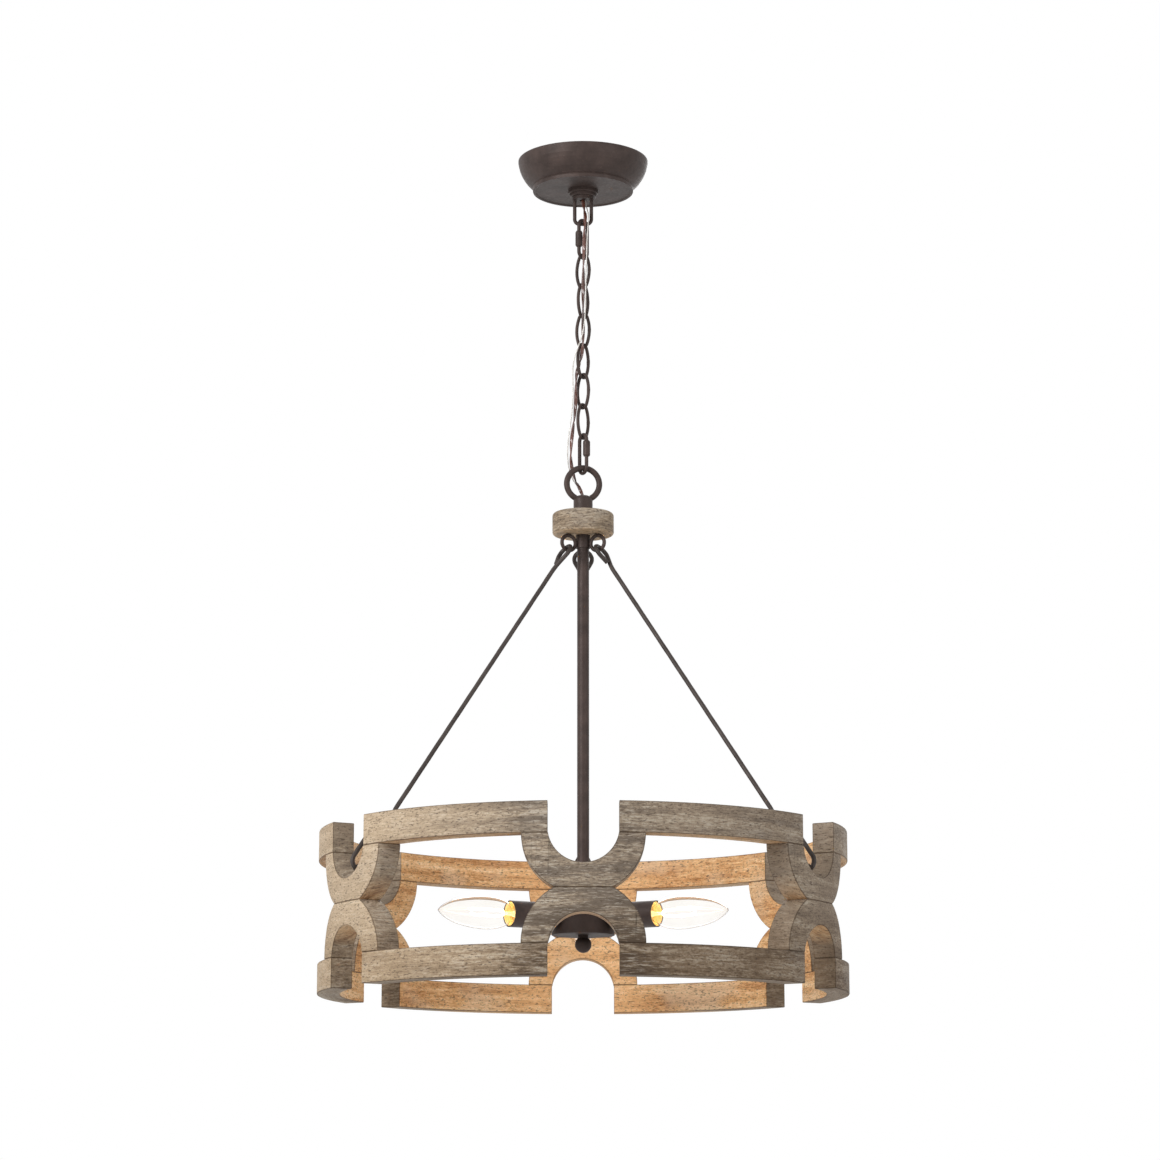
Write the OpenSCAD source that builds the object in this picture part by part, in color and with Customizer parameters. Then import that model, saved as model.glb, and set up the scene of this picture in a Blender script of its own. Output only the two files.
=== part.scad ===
// Wood drum pendant light, hung on a chain.
// The origin is the middle of the ceiling plane. Z is up, so the whole light hangs below zero.
// Minus Y is the side that faces the viewer. The rods, screw eyes and lamps stand at 90, 210 and 330 degrees.

/* [Canopy] */
// Diameter of the canopy where it meets the ceiling
canopy_d = 128; // [124:1:150]
// Height of the canopy
canopy_h = 30; // [28:1:40]
// Sheet thickness of the canopy
canopy_wall = 1.2; // [0.8:0.1:2]
// Diameter of the flat face under the canopy
canopy_face_d = 95; // [80:1:100]
// Depth of the small ridge round the flat face
canopy_ridge = 0.9; // [0.5:0.1:1.5]

/* [Ceiling bracket] */
// Clear space between each end of the bracket and the canopy's edge
bracket_clear = 10.55; // [9:0.05:14]
// Strip left at each end of the bracket, past its slot
bracket_end = 3; // [2:0.1:5]
// Width of the bracket's slots
bracket_slot_w = 5.2; // [4:0.1:6]
// Length of the bracket's slots, end to end
bracket_slot_len = 12; // [8:0.5:14]
// Width of the bracket's strip
bracket_w = 22; // [16:1:26]
// Thickness of the bracket's strip
bracket_t = 2; // [1.5:0.1:3]
// How far the middle of the bracket hangs below the ceiling
bracket_offset = 9; // [6:0.5:12]

/* [Nipple and canopy loop] */
// Outside diameter of the threaded nipple
nipple_d = 9.7; // [9:0.1:11]
// Bore of the nipple, which the cord passes through
nipple_bore = 6.6; // [5:0.1:7]
// Diameter of the loop's round body
loop_body_d = 20.7; // [20:0.1:24]
// Outside width of the canopy loop
loop_w = 20; // [17:0.5:20]
// Wire of the canopy loop
loop_wire = 3.6; // [3:0.1:4.2]
// Drop of the canopy loop below its body
loop_drop = 26; // [22:0.5:34]
// Height of the wide step of the screw collar
collar_step_1 = 3.6; // [2.5:0.1:5]
// Height of the narrow step of the screw collar
collar_step_2 = 3; // [2:0.1:5]
// Diameter of the wide step of the screw collar
collar_d_1 = 29.2; // [27:0.1:34]
// Diameter of the narrow step of the screw collar
collar_d_2 = 25.7; // [24:0.1:26.5]

/* [Chain] */
// Length of each quick link
quick_len = 42; // [38:0.5:50]
// Outside width of each quick link
quick_w = 15.6; // [14:0.2:18]
// Wire of the quick links
quick_wire = 3.6; // [3:0.1:4]
// Diameter of the quick links' sleeve nuts
sleeve_d = 7; // [6:0.1:7.6]
// Length of the quick links' sleeve nuts
sleeve_len = 15.6; // [13:0.2:17]
// Length of each oval chain link
link_len = 36.9; // [33:0.1:45]
// Outside width of each oval chain link
link_w = 18.5; // [17:0.1:21]
// Wire of the chain links
link_wire = 3.2; // [2.6:0.1:3.6]

/* [Fixture loop and disc] */
// Outside diameter of the ring on top of the pendant
ring_d = 37.6; // [34:0.2:44]
// Wire of that ring
ring_wire = 5.8; // [5:0.1:6.6]
// Height of the boss under the ring
boss_h = 17.7; // [15:0.1:22]
// Diameter of the boss
boss_d = 18.6; // [16:0.1:22]
// Diameter of the wood disc
disc_d = 59.4; // [56:0.2:80]
// Thickness of the wood disc
disc_h = 21.6; // [18:0.2:30]

/* [Rods and eyes] */
// Wire of the hanging rods
rod_wire = 4.3; // [3.6:0.1:5]
// Outside width of the rods' eyes
rod_eye_w = 21.3; // [18:0.1:24]
// Distance of the disc's screw eyes from the axis
disc_eye_r = 16.1; // [16:0.1:20]
// Outside diameter of the disc's screw eyes
disc_eye_d = 18.4; // [18:0.1:22]
// Wire of the disc's screw eyes
disc_eye_wire = 3.6; // [3:0.1:3.8]
// Outside diameter of the drum's screw eyes
drum_eye_d = 13; // [13:0.1:15]
// Wire of the drum's screw eyes
drum_eye_wire = 3; // [2.6:0.1:3]
// Drop from the underside of the disc to the top of the drum
rod_drop = 290.9; // [240:0.1:400]

/* [Wood drum] */
// Outside diameter of the drum
drum_d = 500; // [460:1:620]
// Height of the drum
drum_h = 152.5; // [146:0.5:170]
// Thickness of the drum's wood
drum_wall = 21.4; // [18:0.2:26]
// Height of the straight bars at the top and bottom
bar_h = 28; // [24:0.5:32]
// Width of each U-shaped gap, on the outer face
gap_w = 63; // [56:0.5:70]
// Width of the waist between an upper and a lower curve
waist_w = 52; // [46:0.2:60]
// Height of the waist
waist_h = 43.3; // [38:0.1:50]

/* [Stem and hub] */
// Diameter of the stem
stem_d = 11.5; // [10:0.1:12.6]
// Wall of the stem
stem_wall = 2.1; // [1.8:0.1:2.4]
// Diameter of the nut under the disc
stem_nut_d = 13.6; // [13:0.1:14]
// Height of the nut under the disc
stem_nut_h = 13; // [8:0.5:16]
// Height of the lamp axes above the bottom of the drum
lamp_rise = 73.5; // [66:0.5:90]
// Diameter of the hub
hub_d = 59.5; // [52:0.5:66]
// Height of the hub below the lamp axes
hub_skirt = 16.5; // [15:0.5:22]
// Height of the hub's dome above the lamp axes
hub_crown = 24; // [20:0.5:30]
// Sheet thickness of the hub and its cover
hub_wall = 1.6; // [1.2:0.1:2]
// Diameter of the ball finial
finial_d = 15.7; // [12:0.1:20]

/* [Lamps] */
// Distance from the axis to the mouth of each socket cover
mouth_r = 79.5; // [74:0.5:90]
// Diameter of the socket covers
cover_d = 24.8; // [24:0.2:28]
// Wall of the socket covers
cover_wall = 1; // [0.8:0.1:1.4]
// Largest diameter of the bulbs
bulb_d = 31.6; // [28:0.2:36]
// Length of the bulbs' glass
bulb_len = 84; // [76:0.5:92]
// Diameter of the bulbs' screw caps
cap_d = 12; // [11:0.1:12.4]
// Wall of the bulbs' glass
glass_wall = 0.8; // [0.6:0.1:1]

/* [Hidden] */
$fn = 48;

// Colours
bronze = [0.24, 0.19, 0.17];
wood_grey = [0.52, 0.45, 0.37];
brass_tone = [0.75, 0.6, 0.3];
steel_tone = [0.7, 0.7, 0.72];

// Clearances: metal resting on metal, a running fit, and how far cuts run past faces
touch = 0.05;
run_fit = 0.06;
over = 1;

// Counts
crossings = 6;
rods = 3;
links = 6;
rod_angles = [90, 210, 330];
first_crossing = 30;
crossing_step = 360 / crossings;

// The bracket: how far its ends reach, and the distance between the two ceiling screws
bracket_half = canopy_d / 2 - bracket_clear;
bracket_screw_gap = 2 * (bracket_half - bracket_end) - bracket_slot_len;

// Heights down to the canopy loop's bar
face_z = -canopy_h;
collar_bottom = face_z - collar_step_1 - collar_step_2;
loop_show = 3.4;
loop_body_top = face_z + 4;
loop_body_z = collar_bottom - loop_show;
loop_bar_z = loop_body_z - loop_drop + loop_wire / 2;
loop_bend = 5;
loop_hole = 7;
canopy_hole_d = loop_body_d + 2.4;
collar_bore = loop_body_d + 2 * run_fit;

// Heights down the chain. A name that ends in c is the middle of a piece.
quick_half = (quick_w - quick_wire) / 2;
quick_run = quick_len - quick_wire;
upper_quick_top = loop_bar_z + (loop_wire + quick_wire) / 2 + touch;
upper_quick_c = upper_quick_top - quick_run / 2;
link_half = (link_w - link_wire) / 2;
link_run = link_len - link_wire;
link_step = link_run - link_wire - touch;
first_link_top = upper_quick_top - quick_run + (quick_wire + link_wire) / 2 + touch;
last_link_bottom = first_link_top - (links - 1) * link_step - link_run;
lower_quick_top = last_link_bottom + (quick_wire + link_wire) / 2 + touch;
lower_quick_c = lower_quick_top - quick_run / 2;
ring_lift = 0.45;
ring_r = (ring_d - ring_wire) / 2;
ring_top = lower_quick_top - quick_run + (quick_wire + ring_wire) / 2 + ring_lift;
ring_c = ring_top - ring_r;

// How each piece of the chain is turned about the vertical, from the top down
upper_quick_turn = 48;
link_turns = [-38, 52, -37, 48, -46, 49];
lower_quick_turn = -56;
ring_turn = 8;

// The sleeve nuts sit off the middle of their legs by these shares of the link's length
upper_sleeve_share = -0.02;
lower_sleeve_share = 0.105;
gate_gap = 5;

// Heights of the pendant's top
boss_rise = 1.3;
boss_top = ring_c - ring_r + ring_wire / 2 + boss_rise;
disc_top = boss_top - boss_h;
disc_z = disc_top - disc_h;
disc_round = 3;
stem_in_boss = 9;
stem_r = stem_d / 2;
stem_bore_r = stem_r - stem_wall;
cord_hole_r = 3.1;

// Heights of the drum
drum_r = drum_d / 2;
drum_in = drum_r - drum_wall;
drum_top = disc_z - rod_drop;
drum_z = drum_top - drum_h;
drum_mid = drum_z + drum_h / 2;
wall_mid = drum_r - drum_wall / 2;
bar_half = drum_h / 2 - bar_h;
curve_r = sqrt(bar_half * bar_half + waist_w * waist_w / 4);
gap_r = gap_w / 2;
gap_c = waist_h / 2 + gap_r;
valley_z = drum_mid + gap_c - gap_r;
reach_share = 1.1;
gap_angle = asin(gap_r / drum_r);
curve_angle = asin(curve_r / drum_in);
half_step = crossing_step / 2;

// Corners of the wedge that each bar is cut from, with ends parallel to its two crossings
function wedge_point(reach, side) = [reach * cos(half_step) + gap_r * sin(half_step),
    side * (reach * sin(half_step) - gap_r * cos(half_step))];
bar_wedge = [wedge_point(drum_in * 0.7, -1), wedge_point(drum_r * 1.2, -1),
    wedge_point(drum_r * 1.2, 1), wedge_point(drum_in * 0.7, 1)];

// The rods, as [distance from the axis, height]: where the middle of the wire turns in each eye
rod_eye_r = (rod_eye_w - rod_wire) / 2;
disc_eye_ring = (disc_eye_d - disc_eye_wire) / 2;
disc_eye_c = disc_z - disc_eye_d / 2;
rod_high = [disc_eye_r, disc_eye_c - disc_eye_ring + (disc_eye_wire + rod_wire) / 2 + touch];
drum_eye_ring = (drum_eye_d - drum_eye_wire) / 2;
eye_stand = 1.1;
eye_hold = (rod_wire + drum_eye_wire) / 2 + touch;
rod_low = [wall_mid, valley_z + drum_eye_d + eye_stand - drum_eye_wire / 2 - eye_hold];
rod_vec = rod_low - rod_high;
rod_len = norm(rod_vec);
rod_dir = rod_vec / rod_len;
rod_lean = atan2(rod_vec[0], -rod_vec[1]);
neck_len = 18;
low_eye_len = 40;
eye_shank = 12;

// The lamps and the hub
lamp_z = drum_z + lamp_rise;
hub_z = lamp_z - hub_skirt;
hub_top = lamp_z + hub_crown;
hub_r = hub_d / 2;
neck_r = 6;
neck_out = 4;
cover_r = cover_d / 2;
cover_back = hub_r + neck_out;
socket_r = cover_r - cover_wall - run_fit;
socket_front = mouth_r - 8;
socket_back = cover_back + cover_wall;
cap_r = cap_d / 2;
cap_len = 20;
glass_start = mouth_r - 9;
cap_start = glass_start + 2 - cap_len;
tip_len = 2.5;
finial_r = finial_d / 2;
finial_neck = 2;
finial_shank_r = 3.4;
finial_up = 5;

module wire(steps, d, i = 0) {
    // A bent wire from the origin along Z. Each step is [straight length, bend radius, bend angle towards X].
    if (i < len(steps)) {
        run = steps[i][0];
        bend_r = steps[i][1];
        bend = steps[i][2];
        side = bend < 0 ? -1 : 1;
        if (run > 0) cylinder(d = d, h = run);
        translate([0, 0, run]) {
            if (bend != 0)
                rotate([0, 0, side < 0 ? 180 : 0])
                    translate([bend_r, 0, 0])
                        rotate([0, 0, 180])
                            rotate([90, 0, 0])
                                rotate_extrude(angle = abs(bend))
                                    translate([bend_r, 0]) circle(d = d);
            translate([side * bend_r * (1 - cos(bend)), 0, bend_r * sin(abs(bend))])
                rotate([0, bend, 0])
                    wire(steps, d, i + 1);
        }
    }
}

module around(angles) {
    for (a = angles) rotate([0, 0, a]) children();
}

module mounting_bracket() {
    ear = bracket_screw_gap / 2 - bracket_slot_len / 2 - 2;
    slope = bracket_offset * 0.8;
    color(steel_tone)
        difference() {
            translate([0, bracket_w / 2, 0])
                rotate([90, 0, 0])
                    linear_extrude(bracket_w)
                        polygon([[-bracket_half, 0], [-ear, 0], [slope - ear, -bracket_offset],
                            [ear - slope, -bracket_offset], [ear, 0], [bracket_half, 0],
                            [bracket_half, -bracket_t], [ear + bracket_t / 2, -bracket_t],
                            [ear - slope + bracket_t / 2, -bracket_offset - bracket_t],
                            [slope - ear - bracket_t / 2, -bracket_offset - bracket_t],
                            [-ear - bracket_t / 2, -bracket_t], [-bracket_half, -bracket_t]]);
            for (side = [-1, 1])
                translate([side * bracket_screw_gap / 2, 0, -bracket_t - over])
                    linear_extrude(bracket_t + 2 * over) {
                        square([bracket_slot_len - bracket_slot_w, bracket_slot_w], center = true);
                        for (end = [-1, 1])
                            translate([end * (bracket_slot_len - bracket_slot_w) / 2, 0])
                                circle(d = bracket_slot_w);
                    }
            translate([0, 0, -bracket_offset - bracket_t - over])
                cylinder(d = nipple_d + 2 * run_fit, h = bracket_t + 2 * over);
            translate([ground_x, 0, -bracket_offset - bracket_t - over])
                cylinder(d = ground_d + 2 * run_fit, h = bracket_t + 2 * over);
        }
}

ground_x = 18;
ground_d = 3.8;
ground_head_d = 8;
ground_head_h = 2.6;

module ground_screw() {
    color([0.15, 0.45, 0.2])
        translate([ground_x, 0, -bracket_offset - bracket_t]) {
            cylinder(d = ground_d, h = bracket_t + ground_head_h);
            difference() {
                translate([0, 0, -ground_head_h]) cylinder(d = ground_head_d, h = ground_head_h);
                translate([0, 0, -ground_head_h])
                    cube([ground_head_d + over, ground_slot, ground_head_h], center = true);
            }
        }
}

ground_slot = 1.1;
lock_nut_w = 16;
lock_nut_h = 3;
nipple_up = lock_nut_h + 1.5;

module hollow_nipple() {
    top = -bracket_offset + nipple_up;
    bottom = loop_body_z + loop_floor;
    color(brass_tone)
        translate([0, 0, bottom])
            difference() {
                cylinder(d = nipple_d, h = top - bottom);
                translate([0, 0, -over]) cylinder(d = nipple_bore, h = top - bottom + 2 * over);
            }
}

loop_floor = 3;

module nipple_lock_nuts() {
    color(steel_tone)
        for (z = [-bracket_offset, -bracket_offset - bracket_t - lock_nut_h])
            translate([0, 0, z])
                difference() {
                    cylinder(d = lock_nut_w, h = lock_nut_h, $fn = 6);
                    translate([0, 0, -over])
                        cylinder(d = nipple_d + 2 * run_fit, h = lock_nut_h + 2 * over);
                }
}

module canopy_loop() {
    half = (loop_w - loop_wire) / 2;
    leg = loop_body_z - loop_bar_z - loop_bend;
    body_h = loop_body_top - loop_body_z;
    color(bronze) {
        difference() {
            translate([0, 0, loop_body_z]) cylinder(d = loop_body_d, h = body_h);
            translate([0, 0, loop_body_z + loop_floor])
                cylinder(d = nipple_d + 2 * run_fit, h = body_h);
            translate([0, 0, loop_body_z - over]) cylinder(d = loop_hole, h = body_h);
        }
        translate([-half, 0, loop_body_z])
            rotate([180, 0, 0])
                wire([[leg, loop_bend, 90], [2 * (half - loop_bend), loop_bend, 90], [leg, 0, 0]],
                    loop_wire);
    }
}

canopy_edge = 2;
canopy_curve_shares = [[1, 0.06], [0.992, 0.16], [0.978, 0.3], [0.955, 0.44], [0.925, 0.57],
    [0.89, 0.69], [0.85, 0.79], [0.805, 0.88]];

module canopy_shell() {
    outer_r = canopy_d / 2;
    face_r = canopy_face_d / 2;
    curve = [for (p = canopy_curve_shares)
        [face_r + (outer_r - face_r) * (p[0] - 0.78) / 0.22, -canopy_h * p[1]]];
    outside = concat([[outer_r, 0]], curve,
        [[face_r + 2 * canopy_wall, -canopy_h * 0.93], [face_r + 1.6 * canopy_wall, face_z - canopy_ridge],
        [face_r, face_z - canopy_ridge], [face_r - canopy_wall, face_z]]);
    inside = [for (i = [len(outside) - 2 : -1 : 0])
        [outside[i][0] - canopy_wall * 1.4, min(0, outside[i][1] + (i > len(curve) ? canopy_wall : 0))]];
    color(bronze)
        rotate_extrude($fn = 96)
            polygon(concat(outside,
                [[canopy_hole_d / 2, face_z], [canopy_hole_d / 2, face_z + canopy_wall],
                [face_r - canopy_wall, face_z + canopy_wall]], inside));
}

module screw_collar() {
    chamfer = 0.6;
    color(bronze)
        rotate_extrude()
            polygon([[collar_bore / 2, face_z], [collar_d_1 / 2, face_z],
                [collar_d_1 / 2, face_z - collar_step_1 + chamfer],
                [collar_d_1 / 2 - chamfer, face_z - collar_step_1],
                [collar_d_2 / 2, face_z - collar_step_1],
                [collar_d_2 / 2, collar_bottom + chamfer],
                [collar_d_2 / 2 - chamfer, collar_bottom], [collar_bore / 2, collar_bottom]]);
}

module quick_link(c, turn, gate_side, gate_share) {
    // A quick link in the plane that the turn gives. The gate is the gap in one leg, inside the sleeve.
    straight = quick_run - 2 * quick_half;
    gate_z = gate_share * quick_len;
    low = gate_z - gate_gap / 2 + straight / 2;
    high = straight / 2 - gate_z - gate_gap / 2;
    color(bronze)
        translate([0, 0, c])
            rotate([0, 0, turn])
                rotate([0, 0, gate_side > 0 ? 0 : 180])
                    translate([quick_half, 0, gate_z + gate_gap / 2])
                        wire([[high, quick_half, -180], [straight, quick_half, -180], [low, 0, 0]],
                            quick_wire);
}

module quick_sleeve(c, turn, gate_side, gate_share) {
    bore = quick_wire + 2 * run_fit;
    taper = 1.4;
    color(bronze)
        translate([0, 0, c])
            rotate([0, 0, turn])
                translate([gate_side * quick_half, 0, gate_share * quick_len - sleeve_len / 2])
                    rotate_extrude()
                        polygon([[bore / 2, 0], [sleeve_d / 2 - taper / 2, 0], [sleeve_d / 2, taper],
                            [sleeve_d / 2, sleeve_len - taper],
                            [sleeve_d / 2 - taper / 2, sleeve_len], [bore / 2, sleeve_len]]);
}

module upper_quick_link() {
    quick_link(upper_quick_c, upper_quick_turn, -1, upper_sleeve_share);
}

module upper_link_sleeve() {
    quick_sleeve(upper_quick_c, upper_quick_turn, -1, upper_sleeve_share);
}

module lower_quick_link() {
    quick_link(lower_quick_c, lower_quick_turn, 1, lower_sleeve_share);
}

module lower_link_sleeve() {
    quick_sleeve(lower_quick_c, lower_quick_turn, 1, lower_sleeve_share);
}

module chain_link(k) {
    straight = link_run - 2 * link_half;
    color(bronze)
        translate([0, 0, first_link_top - (k - 1) * link_step - link_run / 2])
            rotate([0, 0, link_turns[k - 1]])
                for (end = [0, 180])
                    rotate([0, end, 0]) {
                        translate([link_half, 0, -straight / 2]) cylinder(d = link_wire, h = straight);
                        translate([0, 0, straight / 2])
                            rotate([90, 0, 0])
                                rotate_extrude(angle = 180) translate([link_half, 0]) circle(d = link_wire);
                    }
}

module fixture_loop() {
    // One casting: the ring stands in a domed boss, and the cord goes down through both
    boss_r = boss_d / 2;
    dome = 4;
    foot = 2;
    color(bronze)
        rotate([0, 0, ring_turn]) difference() {
            union() {
                translate([0, 0, ring_c])
                    rotate([90, 0, 0])
                        rotate_extrude() translate([ring_r, 0]) circle(d = ring_wire);
                rotate_extrude()
                    polygon([[0, disc_top], [boss_r - foot / 2, disc_top],
                        [boss_r - foot / 2, disc_top + foot], [boss_r, disc_top + 2 * foot],
                        [boss_r, boss_top - dome], [boss_r * dome_shares[0], boss_top - dome / 2],
                        [boss_r * dome_shares[1], boss_top - dome / 8],
                        [boss_r * dome_shares[2], boss_top], [0, boss_top]]);
            }
            translate([0, 0, disc_top - over])
                cylinder(r = stem_r + run_fit, h = stem_in_boss + over);
            translate([0, 0, disc_top]) cylinder(r = cord_hole_r, h = boss_h + over);
        }
}

dome_shares = [0.9, 0.65, 0.42];

module wood_disc() {
    disc_r = disc_d / 2;
    color(wood_grey)
        difference() {
            translate([0, 0, disc_z])
                rotate_extrude($fn = 96) {
                    translate([stem_r + run_fit, 0]) square([disc_r - disc_round - stem_r - run_fit, disc_h]);
                    translate([stem_r + run_fit, disc_round])
                        square([disc_r - stem_r - run_fit, disc_h - 2 * disc_round]);
                    for (z = [disc_round, disc_h - disc_round])
                        translate([disc_r - disc_round, z]) circle(r = disc_round);
                }
            around(rod_angles)
                translate([disc_eye_r, 0, disc_z - over])
                    cylinder(d = disc_eye_wire + 2 * run_fit, h = eye_shank + over);
        }
}

module screw_eye(d, eye_wire, shank) {
    // A ring about the origin in the XZ plane, with its shank up along Z.
    r = (d - eye_wire) / 2;
    rotate([90, 0, 0]) rotate_extrude() translate([r, 0]) circle(d = eye_wire);
    translate([0, 0, r]) cylinder(d = eye_wire, h = shank + eye_wire / 2);
}

module disc_screw_eyes() {
    color(bronze)
        around(rod_angles)
            translate([disc_eye_r, 0, disc_eye_c])
                screw_eye(disc_eye_d, disc_eye_wire, eye_shank - over);
}

module stem_tube() {
    top = disc_top + stem_in_boss;
    bottom = hub_z + hub_skirt / 2;
    color(bronze)
        translate([0, 0, bottom])
            difference() {
                cylinder(r = stem_r, h = top - bottom);
                translate([0, 0, -over]) cylinder(r = stem_bore_r, h = top - bottom + 2 * over);
            }
}

module stem_nut() {
    color(bronze)
        translate([0, 0, disc_z - stem_nut_h])
            difference() {
                cylinder(d = stem_nut_d, h = stem_nut_h);
                translate([0, 0, -over]) cylinder(r = stem_r + run_fit, h = stem_nut_h + 2 * over);
            }
}

// A rod is one bent wire. Its path is in its own frame: Z runs down the rod from the point that it hangs from.
bend_size = 5;
bend_cuts = 3;
tip_cuts = 16;
rod_cuts = 6;
rod_sides = 12;
tail_gap = 0.9;
function unit(v) = v / norm(v);
function bend(a, b, c) =
    // The corner b between a and c, made round
    let (p = b + bend_size * unit(a - b), q = b + bend_size * unit(c - b))
    [for (i = [0 : bend_cuts]) let (t = i / bend_cuts) (1 - t) * (1 - t) * p + 2 * t * (1 - t) * b + t * t * q];
function eye_path(len, across) =
    // From the cut end of the wire round an eye to its neck. Len is the length of the eye's straight sides.
    let (r = rod_eye_r, s = len > 0 ? 0 : asin(r / neck_len), lean = len > 0 ? atan(r / neck_len) : s,
        apex = [0, r + len + neck_len],
        left = [-r * cos(s), r + r * sin(s)],
        right = [r * cos(s), r + r * sin(s)],
        left_top = left + [0, len],
        right_top = right + [0, len],
        cut_end = apex + (rod_wire / (2 * sin(lean)) + tail_gap) * unit(left_top - apex),
        tip = [for (i = [0 : tip_cuts])
            let (a = 180 - s + i * (180 + 2 * s) / tip_cuts) [r * cos(a), r + r * sin(a)]],
        flat = concat([cut_end], len > 0 ? bend(apex, left_top, left) : [], tip,
            len > 0 ? bend(right, right_top, apex) : [], bend(right_top, apex, apex + [0, 1])))
    [for (p = flat) [p[0] * across[0], p[0] * across[1], p[1]]];
function from_low_end(p) = [for (i = [len(p) - 1 : -1 : 0]) [p[i][0], p[i][1], rod_len - p[i][2]]];
function along(p, i) = unit(p[min(i + 1, len(p) - 1)] - p[max(i - 1, 0)]);
function ring(p, i, ref, r, sides) =
    // The points of one ring round the path. Ref is square to the plane that the path bends in.
    let (w = along(p, i), u = unit(cross(ref, w)), v = cross(w, u))
    [for (k = [0 : sides - 1]) p[i] + r * (cos(k * 360 / sides) * u + sin(k * 360 / sides) * v)];

module tube(p, refs, d, sides) {
    // A round wire of diameter d along the points p
    n = len(p);
    points = [for (i = [0 : n - 1]) each ring(p, i, refs[i], d / 2, sides)];
    skin = [for (i = [0 : n - 2]) for (k = [0 : sides - 1])
        let (a = i * sides + k, b = i * sides + (k + 1) % sides)
        each [[a, b, b + sides], [a, b + sides, a + sides]]];
    ends = [[for (k = [sides - 1 : -1 : 0]) k], [for (k = [0 : sides - 1]) (n - 1) * sides + k]];
    polyhedron(points, concat(skin, ends));
}

module tie_rod(k) {
    // The upper eye lies across the rod's upright plane. The lower eye lies in that plane on the two
    // front rods and across it on the back rod, so that each is square to its screw eye.
    across = [0, 1];
    outward = [1, 0];
    high = eye_path(0, across);
    low = from_low_end(eye_path(low_eye_len, k == 1 ? across : outward));
    start = high[len(high) - 1];
    main = [for (i = [1 : rod_cuts - 1]) start + (low[0] - start) * i / rod_cuts];
    high_ref = [1, 0, 0];
    low_ref = k == 1 ? high_ref : [0, -1, 0];
    refs = concat([for (p = high) high_ref],
        [for (i = [1 : rod_cuts - 1]) unit(high_ref + (low_ref - high_ref) * i / rod_cuts)],
        [for (p = low) low_ref]);
    color(bronze)
        rotate([0, 0, rod_angles[k - 1]])
            translate([rod_high[0], 0, rod_high[1]])
                rotate([0, 180 - rod_lean, 0]) tube(concat(high, main, low), refs, rod_wire, rod_sides);
}

module drum_screw_eyes() {
    color(bronze)
        for (k = [0 : rods - 1])
            rotate([0, 0, rod_angles[k]])
                if (k == 0)
                    translate([rod_low[0], 0, rod_low[1] - drum_eye_ring + eye_hold])
                        rotate([180, 0, 0])
                            screw_eye(drum_eye_d, drum_eye_wire, eye_shank - over);
                else
                    translate([across_eye[0], 0, across_eye[1]])
                        rotate([180, 0, 90])
                            screw_eye(drum_eye_d, drum_eye_wire, eye_shank - over);
}

// Middle of a drum screw eye that stands across the rod's upright plane
across_eye = [rod_low[0] - rod_dir[0] * eye_hold, rod_low[1] - rod_dir[1] * eye_hold - drum_eye_ring];

module bore_through(r, z) {
    // Straight through the drum's wall along the X axis
    translate([0, 0, z])
        rotate([0, 90, 0])
            cylinder(r = r, h = drum_r * reach_share);
}

module half_bars() {
    // The six bars of the upper half, each from one gap to the next
    spread = half_step - gap_angle + 1;
    for (k = [0 : crossings - 1])
        rotate([0, 0, first_crossing + (k + 0.5) * crossing_step])
            intersection() {
                rotate([0, 0, -spread])
                    rotate_extrude(angle = 2 * spread, $fn = 180)
                        translate([drum_in, bar_half]) square([drum_wall, bar_h]);
                translate([0, 0, bar_half - over])
                    linear_extrude(bar_h + 2 * over) polygon(bar_wedge);
            }
}

module cradle() {
    // One U of the upper half, about the X axis, from the drum's middle height up
    half = curve_angle + 1;
    difference() {
        intersection() {
            rotate([0, 0, -half])
                rotate_extrude(angle = 2 * half, $fn = 180)
                    translate([drum_in, 0]) square([drum_wall, bar_half]);
            bore_through(curve_r, bar_half);
        }
        bore_through(gap_r, gap_c);
    }
}

module top_bars() {
    color(wood_grey)
        translate([0, 0, drum_mid]) half_bars();
}

module bottom_bars() {
    color(wood_grey)
        translate([0, 0, drum_mid])
            mirror([0, 0, 1]) half_bars();
}

module upper_cradle(k) {
    a = first_crossing + (k - 1) * crossing_step;
    eye_r = a == rod_angles[0] ? rod_low[0] : across_eye[0];
    has_eye = len([for (b = rod_angles) if (b == a) b]) > 0;
    color(wood_grey)
        rotate([0, 0, a])
            difference() {
                translate([0, 0, drum_mid]) cradle();
                if (has_eye)
                    translate([eye_r, 0, valley_z - eye_shank])
                        cylinder(d = drum_eye_wire + 2 * run_fit, h = eye_shank + gap_r);
            }
}

module lower_arch(k) {
    color(wood_grey)
        translate([0, 0, drum_mid])
            rotate([0, 0, first_crossing + (k - 1) * crossing_step])
                mirror([0, 0, 1]) cradle();
}

module hub_body() {
    rise = hub_crown + hub_skirt - 2 * hub_wall;
    color(bronze)
        difference() {
            union() {
                hub_dome(hub_r, hub_z + hub_wall, rise + hub_wall);
                for (a = rod_angles)
                    rotate([0, 0, a])
                        translate([hub_r - 3 * hub_wall, 0, lamp_z])
                            rotate([0, 90, 0]) cylinder(r = neck_r, h = neck_out + 3 * hub_wall);
            }
            hub_dome(hub_r - hub_wall, hub_z, rise + hub_wall);
            for (a = rod_angles)
                rotate([0, 0, a])
                    translate([0, 0, lamp_z])
                        rotate([0, 90, 0]) cylinder(r = neck_r - hub_wall, h = hub_r + neck_out + over);
            translate([0, 0, hub_z]) cylinder(r = stem_r + run_fit, h = hub_crown + hub_skirt + over);
        }
}

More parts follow.
